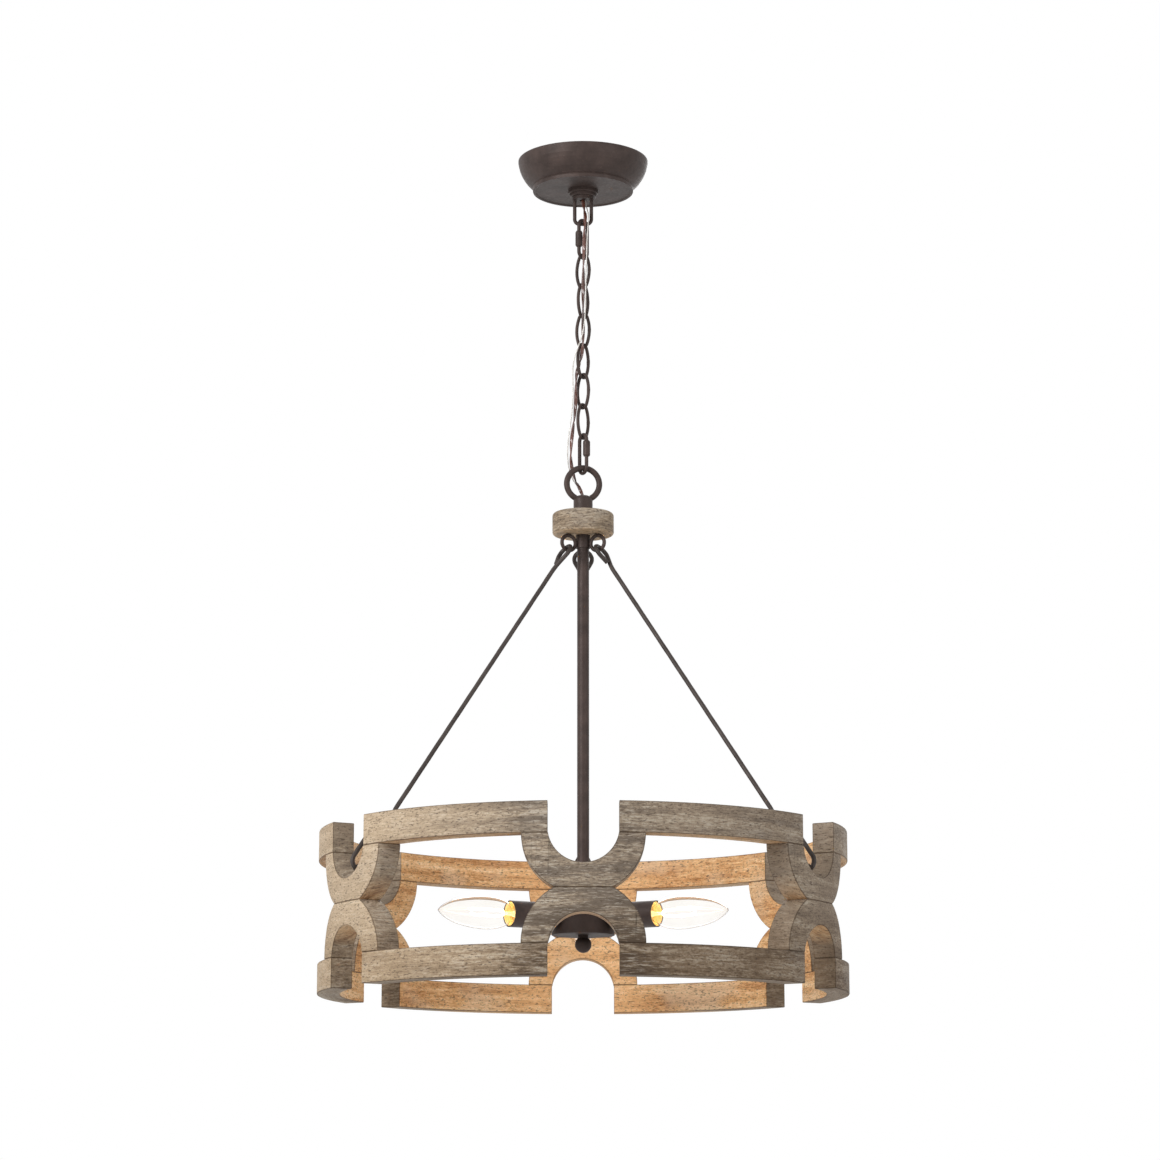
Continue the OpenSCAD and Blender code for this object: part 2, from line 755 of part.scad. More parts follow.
module hub_dome(r, z, h) {
    // A drum-shaped cup with a domed top, open below
    shoulder = 0.55;
    translate([0, 0, z])
        rotate_extrude()
            polygon(concat([[0, 0], [r, 0]],
                [for (a = [0 : 9 : 81]) [stem_r + (r - stem_r) * cos(a), h * (shoulder + (1 - shoulder) * sin(a))]],
                [[stem_r, h], [0, h]]));
}

module hub_cover() {
    rim = 1.2;
    color(bronze)
        rotate_extrude()
            polygon([[finial_shank_r + run_fit, hub_z], [hub_r * 0.5, hub_z], [hub_r * 0.86, hub_z - rim * 0.4],
                [hub_r, hub_z], [hub_r, hub_z + hub_wall], [finial_shank_r + run_fit, hub_z + hub_wall]]);
}

module finial() {
    color(bronze) {
        translate([0, 0, hub_z - finial_neck - finial_r * 0.86]) sphere(r = finial_r);
        translate([0, 0, hub_z - finial_neck - finial_r * 0.5])
            cylinder(r = finial_r * 0.62, h = finial_neck + finial_r * 0.5);
        translate([0, 0, hub_z - finial_neck]) cylinder(r = finial_shank_r, h = finial_up);
    }
}

module on_lamp(k) {
    // The children are drawn along the lamp's axis, with Z as the distance from the stem's axis.
    rotate([0, 0, rod_angles[k - 1]])
        translate([0, 0, lamp_z])
            rotate([0, 90, 0]) children();
}

module socket_cover(k) {
    color(bronze)
        on_lamp(k)
            translate([0, 0, cover_back])
                difference() {
                    cylinder(r = cover_r, h = mouth_r - cover_back);
                    translate([0, 0, cover_wall]) cylinder(r = cover_r - cover_wall, h = mouth_r);
                    translate([0, 0, -over]) cylinder(r = neck_r - hub_wall, h = cover_wall + 2 * over);
                }
}

module lamp_socket(k) {
    color([0.93, 0.9, 0.82])
        on_lamp(k)
            difference() {
                translate([0, 0, socket_back]) cylinder(r = socket_r, h = socket_front - socket_back);
                translate([0, 0, cap_start - tip_len - touch])
                    cylinder(r = cap_r + run_fit, h = mouth_r);
            }
}

filament_len = 34;
filament_d = 1.8;
filament_ring = 3.6;
post_d = 3;
post_len = 16;
post_disc = 1;

module bulb_base(k) {
    // The screw cap with its contact, and on it the glass post that carries four upright filaments
    color(brass_tone)
        on_lamp(k) {
            translate([0, 0, cap_start]) cylinder(r = cap_r, h = glass_start - cap_start);
            translate([0, 0, cap_start - tip_len]) cylinder(r = cap_r * tip_share, h = tip_len);
            translate([0, 0, glass_start]) cylinder(d = post_d, h = post_len);
            for (z = [post_len, post_len + filament_len])
                translate([0, 0, glass_start + z - post_disc])
                    cylinder(r = filament_ring + filament_d, h = post_disc);
            for (a = [45 : 90 : 315])
                rotate([0, 0, a])
                    translate([filament_ring, 0, glass_start + post_len - post_disc / 2])
                        cylinder(d = filament_d, h = filament_len);
        }
}

tip_share = 0.45;

// The bulb's outline: shares of its length from the cap, and of its largest radius
bulb_shares = [[0, 0.36], [0.05, 0.41], [0.11, 0.58], [0.18, 0.79], [0.26, 0.925], [0.34, 0.985],
    [0.42, 1], [0.5, 0.985], [0.6, 0.925], [0.7, 0.835], [0.79, 0.71], [0.87, 0.535], [0.93, 0.36],
    [0.97, 0.21], [1, 0.05]];

module bulb_glass(k) {
    // A thin shell that stands on the cap, round the post
    outside = [for (p = bulb_shares) [p[1] * bulb_d / 2, glass_start + p[0] * bulb_len]];
    inside = [for (i = [len(bulb_shares) - 2 : -1 : 0]) [outside[i][0] - glass_wall, outside[i][1]]];
    color([0.98, 0.95, 0.85, 0.35])
        on_lamp(k)
            rotate_extrude()
                polygon(concat(outside, [[0, glass_start + bulb_len],
                    [0, glass_start + bulb_len - 2 * glass_wall]], inside));
}

lead_d = 1.8;
lead_side = 1.7;

module socket_leads() {
    // Three leads, from the end of the cord inside the stem, round its foot and into the sockets
    foot = hub_z + hub_skirt / 2;
    drop = foot - lead_d;
    color([0.3, 0.17, 0.12])
        around(rod_angles)
            cord([[lead_side, 0, foot + lead_run], [lead_side, 0, foot + lead_d],
                [lead_side + lead_d, 0, drop], [stem_r + lead_d, 0, drop - lead_d / 2],
                [stem_r + 3 * lead_d, 0, (drop + lamp_z) / 2], [hub_r - lead_run, 0, lamp_z],
                [hub_r, 0, lamp_z], [socket_back - touch, 0, lamp_z]], lead_d);
}

lead_run = 8;

// The cord: a tube swept along points chosen by hand, from the nipple down through the chain and the stem
cord_d = 3.6;
ground_wire_d = 1.1;
tube_sides = 8;
cord_ref = [0.02, 1, 0.01];
stem_cord_z = -385;
stem_cord_steps = 5;
cord_end_z = lamp_z + 1;
cord_route = [[0, 0, -0.5], [0, 0, -14], [0, 0, -28], [0, -0.2, -38], [0.5, -1.4, -44.5],
    [1.4, -4, -51], [2.2, -6.4, -58], [1.8, -7.6, -67], [1.2, -8, -79], [0.8, -7.8, -94],
    [0.4, -7.4, -112], [0.1, -7.2, -130], [0, -7, -148], [0, -6.9, -166], [0, -6.8, -180],
    [-0.2, -6.4, -190], [-1.2, -4.6, -197], [-2.55, -2.55, -203.7], [-4.6, -1.2, -210.4],
    [-6.4, -0.2, -218], [-7, 0, -231], [-7.4, 0.2, -248], [-8.6, 0, -263], [-10.4, 0.4, -276],
    [-11.6, 2, -289], [-11.8, 5.2, -302], [-10.2, 6.9, -313], [-7.2, 5.6, -322.5], [-3.6, 2.8, -330.5],
    [-1, 0.5, -337.5], [-0.5, 0, -344.5], [-0.4, 0, -352], [-0.2, 0, -364], [0, 0, stem_cord_z]];
ground_route = [[1.8, 1.8, -0.5], [1.8, 1.8, -14], [1.8, 1.8, -28], [2, 1.7, -38], [3, 1, -44.5],
    [4.6, -2.2, -51.5], [5.4, -6.4, -59], [4.8, -9.2, -69], [4, -9.9, -82], [3.6, -9.6, -97],
    [3, -9.5, -115], [2.6, -9.4, -134], [2.2, -9.4, -152], [1.2, -9.6, -168], [-1.4, -9.6, -182],
    [-5, -9.3, -192.5], [-8.1, -8.1, -202], [-9.8, -5.6, -211], [-10, -3, -221], [-9.8, -2.2, -234],
    [-10.4, -1.8, -250], [-11.8, -1.4, -264], [-13.6, -0.6, -276], [-14.8, 2, -289],
    [-14.9, 6.2, -301], [-13.2, 9, -312], [-10, 9.2, -320.5], [-5.6, 7.6, -327.5], [-1.4, 4.6, -333.8],
    [0.9, 2.2, -338.8], [1.8, 0.9, -343.5], [2.05, 0.4, -349], [2.1, 0.4, -356]];

function smooth(p, i, t) =
    // A point t of the way from point i to the next, on a curve through all the points
    let (a = p[max(i - 1, 0)], b = p[i], c = p[min(i + 1, len(p) - 1)], d = p[min(i + 2, len(p) - 1)])
    0.5 * (2 * b + (c - a) * t + (2 * a - 5 * b + 4 * c - d) * t * t + (3 * b - a - 3 * c + d) * t * t * t);
function round_line(p, cut) = concat(
    [for (i = [0 : len(p) - 2]) for (j = [0 : cut - 1]) smooth(p, i, j / cut)], [p[len(p) - 1]]);

module cord(points, d) {
    line = round_line(points, 2);
    tube(line, [for (q = line) cord_ref], d, tube_sides);
}

module lamp_cord() {
    // The last stretch is straight, down the middle of the stem to the lamps
    down = [for (i = [1 : stem_cord_steps])
        [0, 0, stem_cord_z + (cord_end_z - stem_cord_z) * i / stem_cord_steps]];
    color([0.3, 0.17, 0.12]) cord(concat(cord_route, down), cord_d);
}

module ground_wire() {
    color([0.75, 0.72, 0.68]) cord(ground_route, ground_wire_d);
}

mounting_bracket();
ground_screw();
hollow_nipple();
nipple_lock_nuts();
canopy_loop();
canopy_shell();
screw_collar();
upper_quick_link();
upper_link_sleeve();
chain_link(1);  // chain_link_1
chain_link(2);  // chain_link_2
chain_link(3);  // chain_link_3
chain_link(4);  // chain_link_4
chain_link(5);  // chain_link_5
chain_link(6);  // chain_link_6
lower_quick_link();
lower_link_sleeve();
lamp_cord();
ground_wire();
fixture_loop();
wood_disc();
disc_screw_eyes();
stem_tube();
stem_nut();
tie_rod(1);  // tie_rod_1
tie_rod(2);  // tie_rod_2
tie_rod(3);  // tie_rod_3
drum_screw_eyes();
top_bars();
bottom_bars();
upper_cradle(1);  // upper_cradle_1
upper_cradle(2);  // upper_cradle_2
upper_cradle(3);  // upper_cradle_3
upper_cradle(4);  // upper_cradle_4
upper_cradle(5);  // upper_cradle_5
upper_cradle(6);  // upper_cradle_6
lower_arch(1);  // lower_arch_1
lower_arch(2);  // lower_arch_2
lower_arch(3);  // lower_arch_3
lower_arch(4);  // lower_arch_4
lower_arch(5);  // lower_arch_5
lower_arch(6);  // lower_arch_6
hub_body();
socket_leads();
hub_cover();
finial();
socket_cover(1);  // socket_cover_1
socket_cover(2);  // socket_cover_2
socket_cover(3);  // socket_cover_3
lamp_socket(1);  // lamp_socket_1
lamp_socket(2);  // lamp_socket_2
lamp_socket(3);  // lamp_socket_3
bulb_base(1);  // bulb_base_1
bulb_base(2);  // bulb_base_2
bulb_base(3);  // bulb_base_3
bulb_glass(1);  // bulb_glass_1
bulb_glass(2);  // bulb_glass_2
bulb_glass(3);  // bulb_glass_3
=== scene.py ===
import bpy
import math
from mathutils import Matrix, Vector


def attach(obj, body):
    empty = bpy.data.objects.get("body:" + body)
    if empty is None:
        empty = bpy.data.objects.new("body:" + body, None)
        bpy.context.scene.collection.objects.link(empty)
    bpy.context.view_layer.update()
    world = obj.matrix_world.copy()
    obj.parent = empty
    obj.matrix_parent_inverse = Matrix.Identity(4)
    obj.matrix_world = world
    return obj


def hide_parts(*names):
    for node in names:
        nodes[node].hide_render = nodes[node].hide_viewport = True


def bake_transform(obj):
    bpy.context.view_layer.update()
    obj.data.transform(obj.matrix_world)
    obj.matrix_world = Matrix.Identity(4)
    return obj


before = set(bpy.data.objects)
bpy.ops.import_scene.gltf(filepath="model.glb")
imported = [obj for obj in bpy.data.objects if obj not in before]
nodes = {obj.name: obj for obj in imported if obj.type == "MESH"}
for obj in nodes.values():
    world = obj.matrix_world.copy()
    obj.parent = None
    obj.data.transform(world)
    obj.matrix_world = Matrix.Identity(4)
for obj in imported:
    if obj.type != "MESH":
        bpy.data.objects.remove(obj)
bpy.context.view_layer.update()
scene = bpy.context.scene


# Camera, fitted to the photo
# Lengths are in metres and angles in degrees, unless a comment says otherwise.
CAMERA_PLACE = (-0.0030, -3.1308, -1.0546)
CAMERA_TILT = 11.42   # upwards from level

cam_data = bpy.data.cameras.new("camera")
cam_data.sensor_width = 36.0
cam_data.sensor_fit = "HORIZONTAL"
cam_data.lens = 102.72
cam_data.clip_end = 50.0
cam = bpy.data.objects.new("camera", cam_data)
cam.location = CAMERA_PLACE
cam.rotation_euler = (math.radians(90 + CAMERA_TILT), 0.0, 0.0)
scene.collection.objects.link(cam)
scene.camera = cam
scene.view_settings.view_transform = "Standard"


# Mesh helpers
def smooth_line(points, cut):
    """A smooth curve through the points, each stretch cut into that many steps."""
    pts = [Vector(p) for p in points]
    out = []
    for i in range(len(pts) - 1):
        a, b = pts[max(i - 1, 0)], pts[i]
        c, d = pts[i + 1], pts[min(i + 2, len(pts) - 1)]
        for j in range(cut):
            t = j / cut
            out.append(0.5 * (2 * b + (c - a) * t + (2 * a - 5 * b + 4 * c - d) * t * t
                              + (3 * b - a - 3 * c + d) * t ** 3))
    out.append(pts[-1])
    return out


def frames(path, closed=False, up=None):
    """Tangent and two square directions at each point, carried along without twist."""
    n = len(path)
    tangents = []
    for i in range(n):
        a = path[(i - 1) % n] if closed else path[max(i - 1, 0)]
        b = path[(i + 1) % n] if closed else path[min(i + 1, n - 1)]
        tangents.append((b - a).normalized())
    u = up.copy() if up else Vector((0.02, 1.0, 0.01))
    out = []
    for t in tangents:
        u = (u - t * u.dot(t)).normalized()
        out.append((t, u.copy(), t.cross(u)))
    return out


def mesh_object(name, verts, faces):
    mesh = bpy.data.meshes.new(name)
    mesh.from_pydata([tuple(v) for v in verts], [], faces)
    mesh.update()
    mesh.polygons.foreach_set("use_smooth", [True] * len(mesh.polygons))
    obj = bpy.data.objects.new(name, mesh)
    scene.collection.objects.link(obj)
    return obj


def rings(path, profile, closed=False, up=None, size=None):
    """One ring of points at each path point.

    profile(i) gives the (u, v) offsets and size(i), if any, scales them.
    """
    out = []
    for i, (p, (t, u, v)) in enumerate(zip(path, frames(path, closed, up))):
        k = size(i) if size else 1.0
        out.append([p + u * (a * k) + v * (b * k) for a, b in profile(i)])
    return out


def skin(name, ring_list, closed=False, caps=True):
    """Joins rings to a tube, closed into a loop or with flat caps on its ends."""
    s = len(ring_list[0])
    n = len(ring_list)
    verts = [v for r in ring_list for v in r]
    faces = []
    for i in range(n if closed else n - 1):
        j = (i + 1) % n
        for k in range(s):
            m = (k + 1) % s
            faces.append((i * s + k, i * s + m, j * s + m, j * s + k))
    if caps and not closed:
        faces.append(tuple(range(s - 1, -1, -1)))
        faces.append(tuple((n - 1) * s + k for k in range(s)))
    return mesh_object(name, verts, faces)


def circle(r, sides):
    """A profile that is the same circle all the way."""
    pts = [(r * math.cos(2 * math.pi * k / sides), r * math.sin(2 * math.pi * k / sides))
           for k in range(sides)]
    return lambda i: pts


def lathe(name, outline, sides=64, closed=True):
    """Turns (radius, height) points round Z. A point at radius zero closes the end.

    closed joins the last point to the first, for an outline that runs round a wall.
    """
    verts, faces, index = [], [], []
    for r, z in outline:
        if r < 1e-7:
            index.append([len(verts)] * sides)
            verts.append(Vector((0, 0, z)))
        else:
            index.append(list(range(len(verts), len(verts) + sides)))
            verts += [Vector((r * math.cos(2 * math.pi * k / sides),
                              r * math.sin(2 * math.pi * k / sides), z)) for k in range(sides)]
    pairs = list(zip(index[:-1], index[1:]))
    if closed:
        pairs.append((index[-1], index[0]))
    for a, b in pairs:
        for k in range(sides):
            m = (k + 1) % sides
            face = []
            for q in (a[k], a[m], b[m], b[k]):
                if q not in face:
                    face.append(q)
            if len(face) > 2:
                faces.append(tuple(face))
    return mesh_object(name, verts, faces)


def place(obj, angle, height):
    """Moves a lathed piece's axis onto a lamp's axis: Z becomes the way out from the stem."""
    m = (Matrix.Translation((0, 0, height)) @ Matrix.Rotation(math.radians(angle), 4, "Z")
         @ Matrix.Rotation(math.radians(90), 4, "Y"))
    obj.data.transform(m)
    obj.data.update()


def by_angle(obj, degrees):
    """Shades smooth, and splits edges sharper than the angle."""
    obj.data.polygons.foreach_set("use_smooth", [True] * len(obj.data.polygons))
    mod = obj.modifiers.new("edges", "EDGE_SPLIT")
    mod.split_angle = math.radians(degrees)
    mod.use_edge_sharp = False


# Node helpers
class Tree:
    """A material, with short calls for the nodes that it uses."""

    def __init__(self, name):
        self.mat = bpy.data.materials.new(name)
        self.mat.use_nodes = True
        self.nt = self.mat.node_tree
        self.bsdf = self.nt.nodes["Principled BSDF"]
        self.coord = self.nt.nodes.new("ShaderNodeTexCoord")

    def link(self, a, b):
        self.nt.links.new(a, b)

    def math(self, op, a, b=None):
        n = self.nt.nodes.new("ShaderNodeMath")
        n.operation = op
        for i, v in enumerate((a, b)):
            if v is None:
                continue
            if isinstance(v, (int, float)):
                n.inputs[i].default_value = v
            else:
                self.link(v, n.inputs[i])
        return n.outputs[0]

    def noise(self, vector, scale, detail, rough):
        n = self.nt.nodes.new("ShaderNodeTexNoise")
        n.inputs["Scale"].default_value = scale
        n.inputs["Detail"].default_value = detail
        n.inputs["Roughness"].default_value = rough
        self.link(vector, n.inputs["Vector"])
        return n.outputs["Fac"]

    def map(self, value, low, high, at_low, at_high):
        """at_low where the value is low or less, at_high where it is high or more."""
        n = self.nt.nodes.new("ShaderNodeMapRange")
        n.clamp = True
        n.inputs["From Min"].default_value = low
        n.inputs["From Max"].default_value = high
        n.inputs["To Min"].default_value = at_low
        n.inputs["To Max"].default_value = at_high
        self.link(value, n.inputs["Value"])
        return n.outputs[0]

    def ramp(self, value, stops):
        n = self.nt.nodes.new("ShaderNodeValToRGB")
        el = n.color_ramp.elements
        while len(el) < len(stops):
            el.new(0.5)
        for e, (p, c) in zip(el, stops):
            e.position = p
            e.color = (*c, 1)
        self.link(value, n.inputs["Fac"])
        return n.outputs["Color"]

    def mix(self, fac, a, b, mode="MIX"):
        n = self.nt.nodes.new("ShaderNodeMix")
        n.data_type = "RGBA"
        n.blend_type = mode
        for socket, v in ((n.inputs[0], fac), (n.inputs[6], a), (n.inputs[7], b)):
            if isinstance(v, (int, float)):
                socket.default_value = v
            elif isinstance(v, tuple):
                socket.default_value = (*v, 1)
            else:
                self.link(v, socket)
        return n.outputs[2]

    def stretch(self, vector, scale):
        n = self.nt.nodes.new("ShaderNodeVectorMath")
        n.operation = "MULTIPLY"
        n.inputs[1].default_value = scale
        self.link(vector, n.inputs[0])
        return n.outputs[0]

    def parts(self, vector):
        n = self.nt.nodes.new("ShaderNodeSeparateXYZ")
        self.link(vector, n.inputs[0])
        return n.outputs

    def join(self, x, y, z):
        n = self.nt.nodes.new("ShaderNodeCombineXYZ")
        for i, v in enumerate((x, y, z)):
            if isinstance(v, (int, float)):
                n.inputs[i].default_value = v
            else:
                self.link(v, n.inputs[i])
        return n.outputs[0]

    def bump(self, height, strength, distance):
        n = self.nt.nodes.new("ShaderNodeBump")
        n.inputs["Strength"].default_value = strength
        n.inputs["Distance"].default_value = distance
        self.link(height, n.inputs["Height"])
        self.link(n.outputs[0], self.bsdf.inputs["Normal"])

    def set(self, **values):
        for k, v in values.items():
            socket = self.bsdf.inputs[k.replace("_", " ")]
            if isinstance(v, (int, float, tuple)):
                socket.default_value = (*v, 1) if isinstance(v, tuple) and len(v) == 3 else v
            else:
                self.link(v, socket)

    def tint(self, colour, mask, tone):
        """Lays a tone over the colour where the mask says."""
        return self.mix(mask, colour, tone)

    def shade(self, colour, mask, tone):
        """Multiplies the colour by a tone where the mask says."""
        return self.mix(mask, colour, tone, "MULTIPLY")


# Wood. The ramps run over the tone of the grain, from dark to light.
GREY_RAMP = [(0.395, (0.066, 0.042, 0.025)), (0.462, (0.180, 0.125, 0.078)),
             (0.53, (0.37, 0.276, 0.183)), (0.60, (0.63, 0.53, 0.40))]
HONEY_RAMP = [(0.38, (0.36, 0.15, 0.050)), (0.46, (0.62, 0.315, 0.13)),
              (0.53, (0.80, 0.48, 0.23)), (0.61, (0.96, 0.68, 0.40))]
BLEACHED = (0.50, 0.462, 0.408)
BROWN_PATCH = (0.18, 0.117, 0.067)
PORE_DARK = (0.07, 0.046, 0.031)
SPECK_DARK = (0.09, 0.06, 0.04)
# Painted light on the drum's left side, painted shade on its right side and on its cut faces
LEFT_PAINTED_LIGHT = (0.68, 0.49, 0.305)
RIGHT_PAINTED_SHADE = (0.14, 0.086, 0.048)
CUT_PAINTED_SHADE = (0.26, 0.182, 0.115)
FRONT_SHADE = (0.82, 0.80, 0.77)
BAND_STREAK = (0.085, 0.055, 0.033)
FIBRE_STREAK = (0.075, 0.048, 0.029)
FIBRE_PALE = (0.50, 0.44, 0.36)
# Painted shade for the lower wood and painted light for the upper wood
LOW_PAINTED_SHADE = (0.80, 0.80, 0.81)
HIGH_PAINTED_LIGHT = (0.95, 0.86, 0.74)
HONEY_PALE = (0.78, 0.60, 0.42)
HONEY_REAR = (0.96, 0.56, 0.27)
DISC_TAN = (0.72, 0.58, 0.43)
DISC_UNDER = (0.66, 0.44, 0.25)
DRUM_R = 0.239                    # the middle of the drum's wall
LOW_END, HIGH_START = -0.80, -0.75   # heights where the lower and upper wood end and start, and with them the painted shade below and the painted light above


def wood(name, drum=True, dark=1.0):
    """Weathered wood. The drum's is grey outside and honey inside, its grain runs round."""
    t = Tree(name)
    place_out = t.coord.outputs["Object"]
    x, y, z = t.parts(place_out)
    if drum:
        r = t.math("SQRT", t.math("ADD", t.math("MULTIPLY", x, x), t.math("MULTIPLY", y, y)))
        cx, cy = t.math("DIVIDE", x, r), t.math("DIVIDE", y, r)
        normal = t.parts(t.coord.outputs["Normal"])
        facing = t.math("ADD", t.math("MULTIPLY", normal[0], cx),
                        t.math("MULTIPLY", normal[1], cy))
        # Masks by the way a face looks: at the stem, along a cut, down (upper wood only), level
        inward = t.map(facing, -0.75, -0.3, 1.0, 0.0)
        cut = t.map(t.math("ABSOLUTE", facing), 0.25, 0.6, 1.0, 0.0)
        under = t.math("MULTIPLY", t.map(normal[2], -0.9, -0.5, 1.0, 0.0),
                       t.map(z, LOW_END, LOW_END + 0.01, 0.0, 1.0))
        level = t.map(t.math("ABSOLUTE", normal[2]), 0.6, 0.9, 0.0, 1.0)
        depth = t.math("SUBTRACT", r, DRUM_R)
        level_depth = t.math("MULTIPLY", depth, level)
        other_depth = t.math("SUBTRACT", depth, level_depth)

        def at(around, up, deep):
            """Noise coordinates, with how fast they run round, up and into the wall."""
            return t.join(t.math("ADD", t.math("MULTIPLY", cx, around),
                                 t.math("MULTIPLY", other_depth, deep)),
                          t.math("MULTIPLY", cy, around),
                          t.math("ADD", t.math("MULTIPLY", z, up),
                                 t.math("MULTIPLY", level_depth, up * 0.8)))
    else:
        def at(around, up, deep):
            return t.stretch(place_out, (around * 4.0, around * 4.0, up))
    bands = t.noise(at(2.4, 120.0, 40.0), 1.0, 5.0, 0.6)
    fibres = t.noise(at(26.0, 760.0, 110.0), 1.0, 4.0, 0.65)
    pores = t.noise(at(64.0, 900.0, 240.0), 1.0, 2.0, 0.5)
    specks = t.noise(place_out, 520.0, 2.0, 0.6)
    patch = t.noise(t.stretch(place_out, (13.0, 13.0, 20.0)), 1.0, 3.0, 0.55)
    mottle = t.noise(t.stretch(place_out, (330.0, 330.0, 520.0)), 1.0, 4.0, 0.7)
    tone = t.math("ADD", t.math("MULTIPLY", bands, 0.42),
                  t.math("ADD", t.math("MULTIPLY", fibres, 0.34), t.math("MULTIPLY", mottle, 0.24)))
    grey = t.ramp(tone, GREY_RAMP)
    pale = t.map(t.math("ADD", t.math("MULTIPLY", patch, 0.6), t.math("MULTIPLY", fibres, 0.4)),
                 0.52, 0.68, 0.0, 0.6)
    grey = t.tint(grey, pale, BLEACHED)
    brown = t.map(patch, 0.30, 0.46, 0.55, 0.0)
    grey = t.tint(grey, brown, BROWN_PATCH)
    if drum:
        # Tones by place, from the photo: painted light (tan) on the left, painted shade (brown) on
        # the right and on the cut faces
        left = t.math("MULTIPLY", t.map(x, -0.20, 0.0, 0.54, 0.0), t.math("SUBTRACT", 1.0, cut))
        right = t.map(x, -0.12, 0.04, 0.0, 0.42)
        grey = t.tint(grey, left, LEFT_PAINTED_LIGHT)
        grey = t.tint(grey, right, RIGHT_PAINTED_SHADE)
        grey = t.tint(grey, t.math("MULTIPLY", cut, 0.40), CUT_PAINTED_SHADE)
        # Streaks on the front crossing
        middle = t.map(t.math("ABSOLUTE", x), 0.045, 0.085, 1.0, 0.0)
        front = t.math("MULTIPLY", middle, t.map(y, -0.2, 0.0, 1.0, 0.0))
        grey = t.shade(grey, front, FRONT_SHADE)
        for grain, low, high, at_low, at_high, tone_over in (
                (bands, 0.42, 0.56, 0.8, 0.0, BAND_STREAK),
                (fibres, 0.38, 0.49, 0.7, 0.0, FIBRE_STREAK),
                (fibres, 0.54, 0.64, 0.0, 0.5, FIBRE_PALE)):
            streak = t.math("MULTIPLY", front, t.map(grain, low, high, at_low, at_high))
            grey = t.tint(grey, streak, tone_over)
        # Painted shade on the lower wood, painted light (cream) on the upper wood
        grey = t.shade(grey, t.map(z, LOW_END, HIGH_START, 0.6, 0.0), LOW_PAINTED_SHADE)
        grey = t.tint(grey, t.map(z, LOW_END, HIGH_START, 0.0, 0.09), HIGH_PAINTED_LIGHT)
        # Honey on inner faces, on the rear cuts and, weaker, under the upper wood
        honey = t.ramp(tone, HONEY_RAMP)
        honey = t.tint(honey, t.map(patch, 0.52, 0.66, 0.0, 0.45), HONEY_PALE)
        rear = t.math("MULTIPLY", middle, t.map(y, 0.19, 0.22, 0.0, 0.3))
        honey = t.tint(honey, rear, HONEY_REAR)
        tucked = t.math("MULTIPLY", cut, t.map(y, 0.19, 0.212, 0.0, 0.7))
        honeyed = t.math("MAXIMUM", t.math("MAXIMUM", inward, tucked),
                         t.math("MULTIPLY", under, 0.6))
        colour = t.mix(honeyed, grey, honey)
    else:
        below = t.map(t.parts(t.coord.outputs["Normal"])[2], -0.95, -0.4, 0.45, 0.0)
        grey = t.tint(grey, 0.14, DISC_TAN)
        colour = t.tint(grey, below, DISC_UNDER)
    colour = t.tint(colour, t.map(pores, 0.33, 0.42, 0.72, 0.0), PORE_DARK)
    colour = t.tint(colour, t.map(specks, 0.30, 0.38, 0.6, 0.0), SPECK_DARK)
    if dark < 1.0:
        colour = t.shade(colour, 1.0, (dark, dark * 0.94, dark * 0.88))
    t.set(Base_Color=colour, Roughness=t.map(tone, 0.35, 0.65, 0.8, 0.56),
          Specular_IOR_Level=0.25)
    height = t.math("ADD", t.math("MULTIPLY", fibres, 0.7),
                    t.math("ADD", pores, t.math("MULTIPLY", bands, 0.4)))
    t.bump(t.math("ADD", height, t.math("MULTIPLY", mottle, 0.5)), 0.75, 0.0009)
    return t.mat


# Other materials
WORN_LIGHTER = 1.9   # worn specks of metal against its lighter tone


def metal(name, low, high, rough, metallic, scale=420.0, bump=0.25, shine=0.5):
    """Metal between two tones, with worn specks. rough is the range of its roughness."""
    t = Tree(name)
    at = t.coord.outputs["Object"]
    broad = t.noise(at, 60.0, 4.0, 0.6)
    fine = t.noise(at, scale, 3.0, 0.6)
    colour = t.ramp(broad, [(0.3, low), (0.72, high)])
    worn = t.map(fine, 0.62, 0.75, 0.0, 0.35)
    colour = t.mix(worn, colour, tuple(min(1.0, WORN_LIGHTER * c) for c in high))
    t.set(Base_Color=colour, Metallic=metallic, Roughness=t.map(fine, 0.3, 0.7, *rough),
          Specular_IOR_Level=shine)
    t.bump(t.math("ADD", t.math("MULTIPLY", fine, 0.5), broad), bump, 0.0004)
    return t.mat


def plastic(name, low, high, rough, scale=90.0, coat=0.0):
    """A smooth skin between two tones, for the cords and the sockets."""
    t = Tree(name)
    n = t.noise(t.stretch(t.coord.outputs["Object"], (1.0, 1.0, 0.25)), scale, 3.0, 0.5)
    t.set(Base_Color=t.ramp(n, [(0.3, low), (0.7, high)]), Roughness=rough, Coat_Weight=coat)
    t.bump(n, 0.2, 0.0003)
    return t.mat


bronze = metal("bronze", (0.036, 0.0240, 0.0205), (0.074, 0.050, 0.043),
               rough=(0.42, 0.58), metallic=0.2, shine=0.26)
